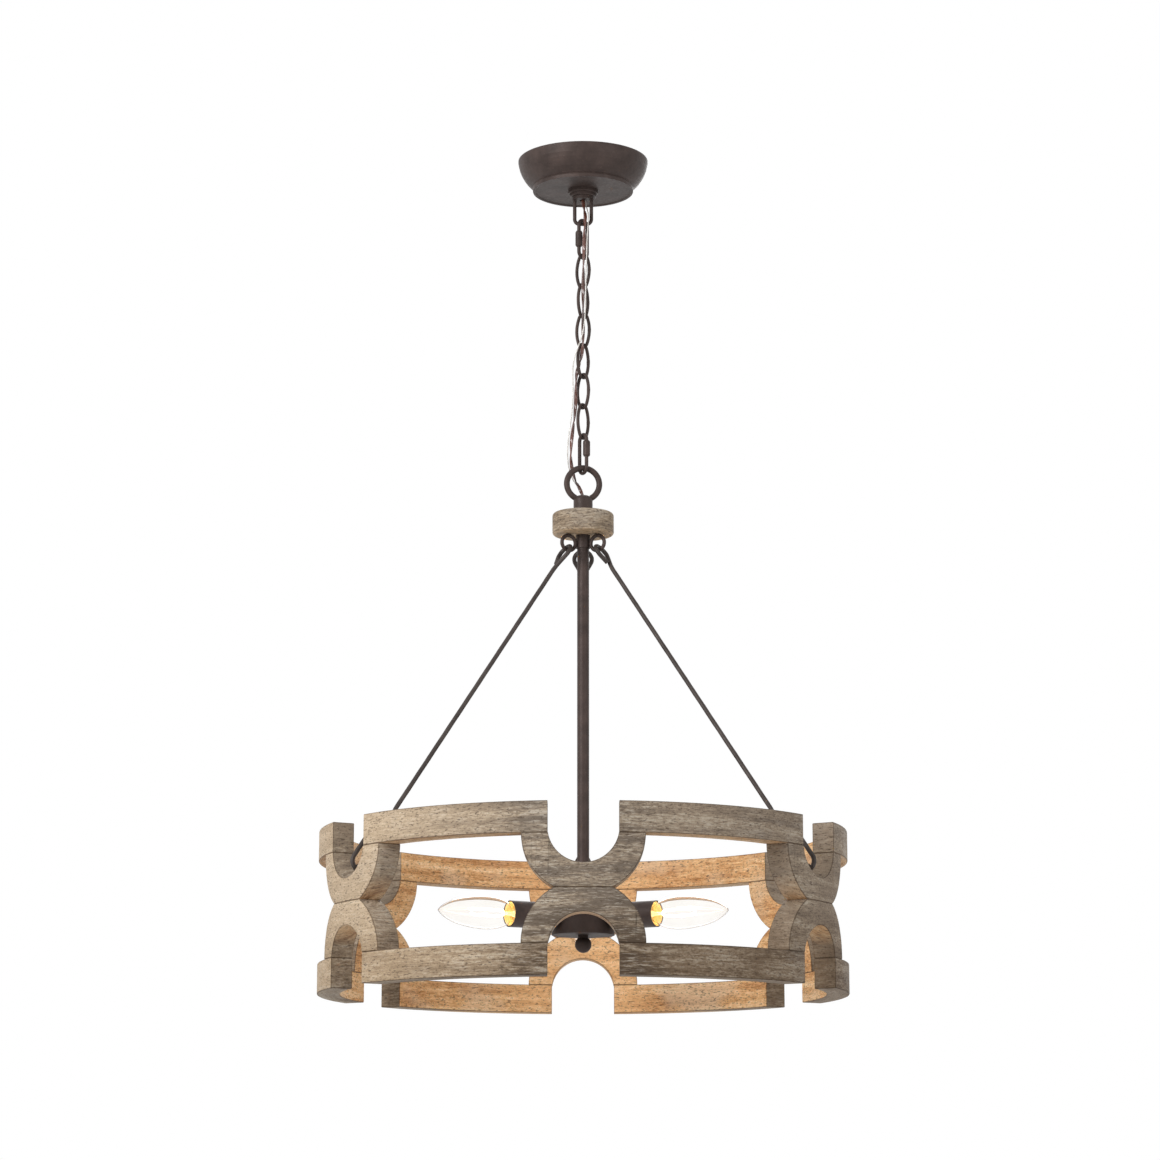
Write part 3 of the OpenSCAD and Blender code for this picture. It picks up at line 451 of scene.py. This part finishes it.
# Painted shade: a darker copy of the bronze for the hub and finial, standing in for the shade on
# the hub's underside
hub_painted_shade_bronze = metal("hub_painted_shade_bronze", (0.027, 0.0180, 0.0150), (0.051, 0.035, 0.030),
                   rough=(0.5, 0.66), metallic=0.2, shine=0.18)
rod_iron = metal("rod_iron", (0.034, 0.026, 0.023), (0.078, 0.062, 0.055),
                 rough=(0.42, 0.62), metallic=0.2, scale=260.0, bump=0.8, shine=0.3)
zinc = metal("zinc_steel", (0.42, 0.42, 0.43), (0.62, 0.62, 0.60),
             rough=(0.25, 0.45), metallic=1.0)
brass = metal("brass", (0.50, 0.33, 0.12), (0.72, 0.52, 0.22), rough=(0.22, 0.4), metallic=1.0)
green = metal("green_screw", (0.02, 0.12, 0.035), (0.04, 0.22, 0.07),
              rough=(0.3, 0.45), metallic=0.6)
drum_wood = wood("drum_wood")
disc_wood = wood("disc_wood", drum=False)
edge_wood = wood("edge_wood", dark=0.5)
cord_skin = plastic("cord_skin", (0.050, 0.020, 0.014), (0.17, 0.055, 0.034),
                    rough=0.25, coat=0.35)
strand = plastic("ground_strand", (0.55, 0.5, 0.44), (0.85, 0.82, 0.78),
                 rough=0.25, scale=900.0, coat=0.5)
ceramic = plastic("socket_ceramic", (0.62, 0.50, 0.28), (0.85, 0.74, 0.48), rough=0.4)


def drifting(name, scale, low, high):
    """A material, and a colour that drifts slowly between two tones."""
    t = Tree(name)
    wave = t.noise(t.coord.outputs["Object"], scale, 2.0, 0.4)
    return t, wave, t.ramp(wave, [(0.3, low), (0.7, high)])


t, wave, tone = drifting("bulb_glass", 70.0, (0.985, 0.97, 0.945), (1.0, 0.99, 0.975))
t.set(Base_Color=tone, Transmission_Weight=1.0, Roughness=0.02, IOR=1.25)
t.bump(wave, 0.05, 0.0004)
glass = t.mat

t, wave, tone = drifting("post_glass", 300.0, (0.98, 0.93, 0.84), (1.0, 0.97, 0.92))
t.set(Base_Color=tone, Transmission_Weight=0.8, Roughness=0.08, IOR=1.3,
      Emission_Color=(1.0, 0.72, 0.34), Emission_Strength=0.5)
post_glass = t.mat

t, _, tone = drifting("filament_glow", 260.0, (1.0, 0.66, 0.30), (1.0, 0.86, 0.60))
t.set(Base_Color=(1.0, 0.72, 0.35), Emission_Color=tone, Emission_Strength=9.0, Roughness=0.5)
filament = t.mat

# Painted light: the collar at each socket's mouth glows warm, as if lit by its bulb
t, _, tone = drifting("painted_glow_collar", 160.0, (0.85, 0.52, 0.14), (1.0, 0.74, 0.30))
t.set(Base_Color=tone, Emission_Color=(1.0, 0.62, 0.18), Emission_Strength=0.55, Roughness=0.35)
painted_glow = t.mat


def dress(obj, mat):
    obj.data.materials.clear()
    obj.data.materials.append(mat)


# What each node is made of. The drum's wood also gets worn edges in a darker wood.
NODE_SPLIT = 32        # edges of a node sharper than this stay sharp
WELD_REACH = 0.00002
EDGE_WIDTH = 0.0007
EDGE_ANGLE = 50

WOOD = ["top_bars", "bottom_bars"] + ["upper_cradle_%d" % k for k in range(1, 7)]
WOOD += ["lower_arch_%d" % k for k in range(1, 7)]
for name, node in nodes.items():
    if name in WOOD:
        mat = drum_wood
    elif name == "wood_disc":
        mat = disc_wood
    elif name in ("mounting_bracket", "nipple_lock_nuts"):
        mat = zinc
    elif name == "ground_screw":
        mat = green
    elif name == "hollow_nipple":
        mat = brass
    elif name in ("lamp_cord", "socket_leads"):
        mat = cord_skin
    elif name == "ground_wire":
        mat = strand
    elif name.startswith("bulb_glass"):
        mat = glass
    elif name.startswith("bulb_base"):
        mat = brass
    elif name.startswith("lamp_socket"):
        mat = ceramic
    elif name.startswith("tie_rod"):
        mat = rod_iron
    # The hub and finial take the darker bronze with painted shade
    elif name.startswith("hub") or name == "finial":
        mat = hub_painted_shade_bronze
    else:
        mat = bronze
    dress(node, mat)
    if name in WOOD:
        weld = node.modifiers.new("joined_faces", "WELD")
        weld.merge_threshold = WELD_REACH
        bevel = node.modifiers.new("worn_edges", "BEVEL")
        bevel.width = EDGE_WIDTH
        bevel.segments = 2
        bevel.limit_method = "ANGLE"
        bevel.angle_limit = math.radians(EDGE_ANGLE)
        bevel.use_clamp_overlap = False
        node.data.materials.append(edge_wood)
        bevel.material = 1
    by_angle(node, NODE_SPLIT)


# Cords
# The routes of the two cord nodes, in millimetres
CORD = [(0, 0, -0.5), (0, 0, -14), (0, 0, -28), (0, -0.2, -38), (0.5, -1.4, -44.5),
    (1.4, -4, -51), (2.2, -6.4, -58), (1.8, -7.6, -67), (1.2, -8, -79), (0.8, -7.8, -94),
    (0.4, -7.4, -112), (0.1, -7.2, -130), (0, -7, -148), (0, -6.9, -166), (0, -6.8, -180),
    (-0.2, -6.4, -190), (-1.2, -4.6, -197), (-2.55, -2.55, -203.7), (-4.6, -1.2, -210.4),
    (-6.4, -0.2, -218), (-7, 0, -231), (-7.4, 0.2, -248), (-8.6, 0, -263), (-10.4, 0.4, -276),
    (-11.6, 2, -289), (-11.8, 5.2, -302), (-10.2, 6.9, -313), (-7.2, 5.6, -322.5),
    (-3.6, 2.8, -330.5), (-1, 0.5, -337.5), (-0.5, 0, -344.5), (-0.4, 0, -352), (-0.2, 0, -364),
    (0, 0, -385), (0, 0, -430), (0, 0, -490), (0, 0, -560), (0, 0, -630), (0, 0, -700),
    (0, 0, -747)]
GROUND = [(1.8, 1.8, -0.5), (1.8, 1.8, -14), (1.8, 1.8, -28), (2, 1.7, -38), (3, 1, -44.5),
    (4.6, -2.2, -51.5), (5.4, -6.4, -59), (4.8, -9.2, -69), (4, -9.9, -82), (3.6, -9.6, -97),
    (3, -9.5, -115), (2.6, -9.4, -134), (2.2, -9.4, -152), (1.2, -9.6, -168), (-1.4, -9.6, -182),
    (-5, -9.3, -192.5), (-8.1, -8.1, -202), (-9.8, -5.6, -211), (-10, -3, -221),
    (-9.8, -2.2, -234), (-10.4, -1.8, -250), (-11.8, -1.4, -264), (-13.6, -0.6, -276),
    (-14.8, 2, -289), (-14.9, 6.2, -301), (-13.2, 9, -312), (-10, 9.2, -320.5),
    (-5.6, 7.6, -327.5), (-1.4, 4.6, -333.8), (0.9, 2.2, -338.8), (1.8, 0.9, -343.5),
    (2.05, 0.4, -349), (2.1, 0.4, -356)]

# Bodies from the ceiling down, the heights of the hinges between them in millimetres, and
# the heights where one stretch of cord ends and the next begins
PIVOTS = [-64.2, -98.95] + [-129.2 - 30.45 * k for k in range(6)] + [-316.4]
HALFWAY = [(a + b) / 2 for a, b in zip(PIVOTS[:-1], PIVOTS[1:])]

LOBE_OFFSET, LOBE_R = 0.00082, 0.00098   # each side of the twin cord
LOBE_SIDES = 20
CORD_TWIST = 0.16                        # radians at each point of its path
STRAND_R, STRAND_SIDES = 0.00055, 8


def lobes(half, r, sides, turn):
    """Two round lobes side by side, turned about the cord's line."""
    out = []
    for k in range(sides):
        a = 2 * math.pi * k / sides
        x = r * math.cos(a) + (half if math.cos(a) > 1e-6 else -half if math.cos(a) < -1e-6 else 0)
        y = r * math.sin(a) * (0.72 + 0.28 * abs(math.cos(a)) ** 0.5)
        out.append((x * math.cos(turn) - y * math.sin(turn),
                    x * math.sin(turn) + y * math.cos(turn)))
    return out


def woven(label, node, route, profile, mat, cut):
    """A cord through the chain, in stretches that each span one joint."""
    path = [p / 1000 for p in smooth_line(route, cut)]
    ring_list = rings(path, profile)
    marks = [0]
    for h in HALFWAY:
        marks.append(min(range(len(path)), key=lambda i: abs(path[i].z - h / 1000)))
    marks.append(len(path) - 1)
    for i in range(len(marks) - 1):
        obj = skin("%s_%d" % (label, i + 1), ring_list[marks[i]:marks[i + 1] + 1],
                   caps=i in (0, len(marks) - 2))
        dress(obj, mat)
        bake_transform(obj)
        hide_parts(node)


woven("twin_cord", "lamp_cord", CORD,
      lambda i: lobes(LOBE_OFFSET, LOBE_R, LOBE_SIDES, CORD_TWIST * i), cord_skin, 8)
woven("bare_strand", "ground_wire", GROUND, circle(STRAND_R, STRAND_SIDES), strand, 6)


# Chain
def ride(obj, body, mat, *names):
    """Gives a piece its material and body, and the nodes that it stands for."""
    dress(obj, mat)
    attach(obj, body)
    if names:
        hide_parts(*names)


TURNS = [-38, 52, -37, 48, -46, 49]      # how each link is turned about the chain's line
LINK_HALF, LINK_RUN, LINK_END = 0.00765, 0.01685, 0.0052   # half width, half length, end radius
LINK_WIRE_R = 0.0016
FIRST_LINK_Z, LINK_STEP = -0.11235, 0.03045
SIDE_STEPS, END_STEPS = 22, 18


def oval(half, run, end):
    """The centre line of a link: two long arcs and two round ends."""
    reach = run - end
    side = (half * half + reach * reach - end * end) / (2 * (half - end))
    lean = math.asin(reach / (side - end))
    points = []
    for s in (1, -1):
        for i in range(SIDE_STEPS):
            a = -lean + 2 * lean * i / SIDE_STEPS
            points.append((s * (half - side + side * math.cos(a)), s * side * math.sin(a)))
        for i in range(END_STEPS):
            a = lean + (math.pi - 2 * lean) * i / END_STEPS
            points.append((s * end * math.cos(a), s * (reach + end * math.sin(a))))
    return points


def weld_bulge(i):
    """The wire is a little thicker at its weld, halfway along the first side."""
    return 1.0 + 0.09 * math.exp(-((i - SIDE_STEPS // 2) / 1.1) ** 2)


for k, degrees in enumerate(TURNS):
    turn = math.radians(degrees)
    centre = FIRST_LINK_Z - LINK_STEP * k
    path = [Vector((u * math.cos(turn), u * math.sin(turn), centre + v))
            for u, v in oval(LINK_HALF, LINK_RUN, LINK_END)]
    square = Vector((-math.sin(turn), math.cos(turn), 0))
    ring_list = rings(path, circle(LINK_WIRE_R, 20), True, square, weld_bulge)
    link = skin("oval_link_%d" % (k + 1), ring_list, True)
    ride(link, "link_%d" % (k + 1), bronze, "chain_link_%d" % (k + 1))


# Rods
AROUND = (90, 210, 330)       # the three ways out from the stem, for rods and lamps
ROD_R, ROD_SIDES = 0.00212, 20
ROD_STEPS = 60                # along the straight part between the two eyes
EYE_R, EYE_NECK = 0.0085, 0.018
EYE_STEPS = 32
LOW_STRAIGHT = 0.040          # the straight sides of the long lower eye
WIRE_WIDTH, CUT_SPARE = 0.0043, 0.0009
BEND, BEND_STEPS = 0.005, 6   # how far from its corner a bend starts
HIGH, LOW = Vector((0.0161, -0.39075)), Vector((0.2393, -0.714750))   # (out, up) at their ends
LENGTH = (LOW - HIGH).length
LEAN = math.atan2(LOW.x - HIGH.x, HIGH.y - LOW.y)   # radians


def rounded(a, b, c):
    """The bend at b on the way from a to c."""
    p, q = b + (a - b).normalized() * BEND, b + (c - b).normalized() * BEND
    return [p * (1 - t) ** 2 + b * (2 * t * (1 - t)) + q * t ** 2
            for t in (i / BEND_STEPS for i in range(BEND_STEPS + 1))]


def eye(straight, across):
    """From the cut end of the wire, round an eye, to its neck."""
    r, neck = EYE_R, EYE_NECK
    s = 0.0 if straight else math.asin(r / neck)
    lean = math.atan(r / neck) if straight else s
    apex = Vector((0, r + straight + neck))
    left = Vector((-r * math.cos(s), r + r * math.sin(s)))
    right = Vector((-left.x, left.y))
    up = Vector((0, straight))
    # The cut end sits just past the point where the two sides are a wire's width apart
    start = (apex + (left + up - apex).normalized()
             * (WIRE_WIDTH / (2 * math.sin(lean)) + CUT_SPARE))
    tip = []
    for i in range(EYE_STEPS + 1):
        a = math.pi - s + i * (math.pi + 2 * s) / EYE_STEPS
        tip.append(Vector((r * math.cos(a), r + r * math.sin(a))))
    flat = [start]
    if straight:
        flat += rounded(apex, left + up, left)
    flat += tip
    if straight:
        flat += rounded(right, right + up, apex)
    flat += rounded(right + up, apex, apex + Vector((0, 1)))
    return [Vector((p.x * across[0], p.x * across[1], p.y)) for p in flat]


for k, angle in enumerate(AROUND):
    # The rear rod's two eyes lie alike. The other rods' lower eyes are turned a quarter, and
    # the wire's section turns with them.
    low_across = (0, 1) if k == 0 else (1, 0)
    high = eye(0.0, (0, 1))
    low = [Vector((p.x, p.y, LENGTH - p.z)) for p in reversed(eye(LOW_STRAIGHT, low_across))]
    main = [high[-1].lerp(low[0], i / ROD_STEPS) for i in range(1, ROD_STEPS)]
    path = high + main + low
    ref_high = Vector((1, 0, 0))
    ref_low = ref_high if k == 0 else Vector((0, -1, 0))
    ring_list = []
    for i, p in enumerate(path):
        t_dir = (path[min(i + 1, len(path) - 1)] - path[max(i - 1, 0)]).normalized()
        w = min(1.0, max(0.0, (i - len(high)) / ROD_STEPS))
        ref = (ref_high * (1 - w) + ref_low * w).normalized()
        u = ref.cross(t_dir).normalized()
        v = t_dir.cross(u)
        ring = []
        for j in range(ROD_SIDES):
            g = 2 * math.pi * j / ROD_SIDES
            dent = 0.00004 * math.sin(3 * g + i * 0.9) + 0.00003 * math.sin(2 * g - i * 1.7)
            ring.append(p + (u * math.cos(g) + v * math.sin(g)) * (ROD_R + dent))
        ring_list.append(ring)
    rod = skin("bent_rod_%d" % (k + 1), ring_list)
    turn = (Matrix.Rotation(math.radians(angle), 4, "Z") @ Matrix.Translation((HIGH.x, 0, HIGH.y))
            @ Matrix.Rotation(math.pi - LEAN, 4, "Y"))
    rod.data.transform(turn)
    ride(rod, "pendant", rod_iron, "tie_rod_%d" % (k + 1))


# Lamps
LAMP_Z = -0.74805         # the height of the lamps' axes
MOUTH = 0.0795            # the mouth of each socket cover, out from the stem's axis
GLASS = MOUTH - 0.009     # where the glass starts
GLASS_R, GLASS_LENGTH, GLASS_WALL = 0.0158, 0.084, 0.0007
CAP_R, THREAD_DEPTH = 0.0056, 0.00035
COLLAR_IN, COLLAR_OUT = 0.0098, 0.0113
FILAMENT_R, FILAMENT_OUT = 0.0007, 0.0036
FILAMENT_START, FILAMENT_LENGTH = GLASS + 0.0155, 0.034

# The bulb's outline, as shares of its length and of its largest radius
SHARES = [(0, 0.36), (0.05, 0.41), (0.11, 0.58), (0.18, 0.79), (0.26, 0.925), (0.34, 0.985),
          (0.42, 1.0), (0.5, 0.985), (0.6, 0.925), (0.7, 0.835), (0.79, 0.71), (0.87, 0.535),
          (0.93, 0.36), (0.97, 0.21), (1, 0.05)]
# A filament's bow, as shares of its length and of its distance from the post's axis
BOW = [(0.0, 0.35), (0.06, 0.9), (0.2, 1.05), (0.5, 1.12), (0.8, 1.05), (0.94, 0.9), (1.0, 0.35)]

line = smooth_line([(p[1] * GLASS_R, 0, GLASS + p[0] * GLASS_LENGTH) for p in SHARES], 4)
outer = [(max(p.x, 0.0004), p.z) for p in line]
inner = [(max(r - GLASS_WALL, 0.0002), z - (0.0008 if i == len(outer) - 1 else 0.0))
         for i, (r, z) in enumerate(outer)]
shell_outline = (outer + [(0, outer[-1][1] + 0.0001), (0, inner[-1][1])]
                 + list(reversed(inner)))

cap_outline = [(0, GLASS - 0.0205), (0.0026, GLASS - 0.0205), (0.0030, GLASS - 0.0185),
               (0.0052, GLASS - 0.0180)]
for i in range(30):
    z = GLASS - 0.0170 + 0.0135 * i / 29
    cap_outline.append((CAP_R + THREAD_DEPTH * math.sin(i * 1.25), z))
cap_outline += [(0.0059, GLASS - 0.0012), (0.0059, GLASS - 0.0001), (0, GLASS - 0.0001)]

post_outline = [(0, GLASS), (0.0048, GLASS + 0.0002), (0.0036, GLASS + 0.003),
                (0.0019, GLASS + 0.007), (0.0014, GLASS + 0.0155), (0, GLASS + 0.016)]
collar_outline = [(COLLAR_IN, MOUTH - 0.0078), (COLLAR_OUT, MOUTH - 0.0078),
                  (COLLAR_OUT, MOUTH - 0.0004), (0.0106, MOUTH - 0.0002),
                  (COLLAR_IN, MOUTH - 0.0010)]

for k, angle in enumerate(AROUND, start=1):
    body = "bulb_%d" % k
    base = "bulb_base_%d" % k
    shell = lathe("candle_glass_%d" % k, shell_outline)
    place(shell, angle, LAMP_Z)
    ride(shell, body, glass, "bulb_glass_%d" % k)
    cap = lathe("screw_cap_%d" % k, cap_outline, closed=False)
    place(cap, angle, LAMP_Z)
    ride(cap, body, brass, base)
    post = lathe("glass_post_%d" % k, post_outline, 24, False)
    place(post, angle, LAMP_Z)
    ride(post, body, post_glass, base)
    for i in range(4):
        g = math.pi / 4 + i * math.pi / 2
        c, s = FILAMENT_OUT * math.cos(g), FILAMENT_OUT * math.sin(g)
        path = [Vector((c * m, s * m, FILAMENT_START + FILAMENT_LENGTH * q)) for q, m in BOW]
        wire = skin("filament_%d_%d" % (k, i + 1),
                    rings(smooth_line(path, 3), circle(FILAMENT_R, 8)))
        place(wire, angle, LAMP_Z)
        ride(wire, body, filament, base)
    # Each socket's collar, with its painted glow
    collar = lathe("lit_collar_%d" % k, collar_outline)
    place(collar, angle, LAMP_Z)
    ride(collar, "pendant", painted_glow)
    by_angle(collar, 40)
    by_angle(cap, 60)


# Stage and light
FLOOR_Z = -2.6
FLOOR_HALF = 6.0


def seen_rays(tree):
    """1 for camera, transmission and glossy rays, 0 for the rays that carry light about."""
    rays = tree.nodes.new("ShaderNodeLightPath").outputs
    seen = rays["Is Camera Ray"]
    for kind in ("Is Transmission Ray", "Is Glossy Ray"):
        either = tree.nodes.new("ShaderNodeMath")
        either.operation = "MAXIMUM"
        tree.links.new(seen, either.inputs[0])
        tree.links.new(rays[kind], either.inputs[1])
        seen = either.outputs[0]
    return seen


floor_mesh = bpy.data.meshes.new("floor")
floor_mesh.from_pydata([(x * FLOOR_HALF, y * FLOOR_HALF, FLOOR_Z)
                        for x, y in ((-1, -1), (1, -1), (1, 1), (-1, 1))], [], [(0, 1, 2, 3)])
floor = bpy.data.objects.new("floor", floor_mesh)
scene.collection.objects.link(floor)
t = Tree("pale_floor")
n = t.noise(t.coord.outputs["Object"], 6.0, 3.0, 0.5)
t.set(Base_Color=t.ramp(n, [(0.3, (0.78, 0.78, 0.77)), (0.7, (0.82, 0.82, 0.81))]),
      Roughness=0.8, Specular_IOR_Level=0.0, Emission_Color=(1.0, 1.0, 1.0),
      Emission_Strength=t.math("MULTIPLY", seen_rays(t.nt), 0.5))
dress(floor, t.mat)

# The world is plain white where it is seen and a soft cool light elsewhere
world = bpy.data.worlds.new("studio")
scene.world = world
world.use_nodes = True
wt = world.node_tree
wt.nodes.clear()
out = wt.nodes.new("ShaderNodeOutputWorld")
mixer = wt.nodes.new("ShaderNodeMixShader")
soft = wt.nodes.new("ShaderNodeBackground")
soft.inputs["Color"].default_value = (0.96, 0.98, 1.0, 1)
soft.inputs["Strength"].default_value = 0.62
plain = wt.nodes.new("ShaderNodeBackground")
plain.inputs["Color"].default_value = (1, 1, 1, 1)
plain.inputs["Strength"].default_value = 1.0
wt.links.new(seen_rays(wt), mixer.inputs[0])
wt.links.new(soft.outputs[0], mixer.inputs[1])
wt.links.new(plain.outputs[0], mixer.inputs[2])
wt.links.new(mixer.outputs[0], out.inputs["Surface"])


LIGHT_AIM = (0, 0, -0.6)
GLOW_OUT = 0.112   # the bulbs' own light, out from the stem


def area(name, spot, size, watts):
    """A round white light aimed at the pendant."""
    data = bpy.data.lights.new(name, "AREA")
    data.shape = "DISK"
    data.size = size
    data.energy = watts
    obj = bpy.data.objects.new(name, data)
    obj.location = spot
    obj.rotation_euler = (Vector(LIGHT_AIM) - Vector(spot)).to_track_quat("-Z", "Y").to_euler()
    scene.collection.objects.link(obj)


area("key", (-1.8, -2.0, 0.3), 1.4, 44)
area("fill", (1.9, -2.0, -0.3), 1.6, 10)
area("back", (0.3, 2.4, 0.5), 1.6, 16)
for k, angle in enumerate(AROUND, start=1):
    glow = bpy.data.lights.new("glow_%d" % k, "POINT")
    glow.energy = 1.08
    glow.color = (1.0, 0.62, 0.28)
    glow.shadow_soft_size = 0.012
    obj = bpy.data.objects.new("glow_%d" % k, glow)
    obj.visible_camera = obj.visible_transmission = obj.visible_glossy = False
    way = math.radians(angle)
    obj.location = (GLOW_OUT * math.cos(way), GLOW_OUT * math.sin(way), LAMP_Z)
    scene.collection.objects.link(obj)
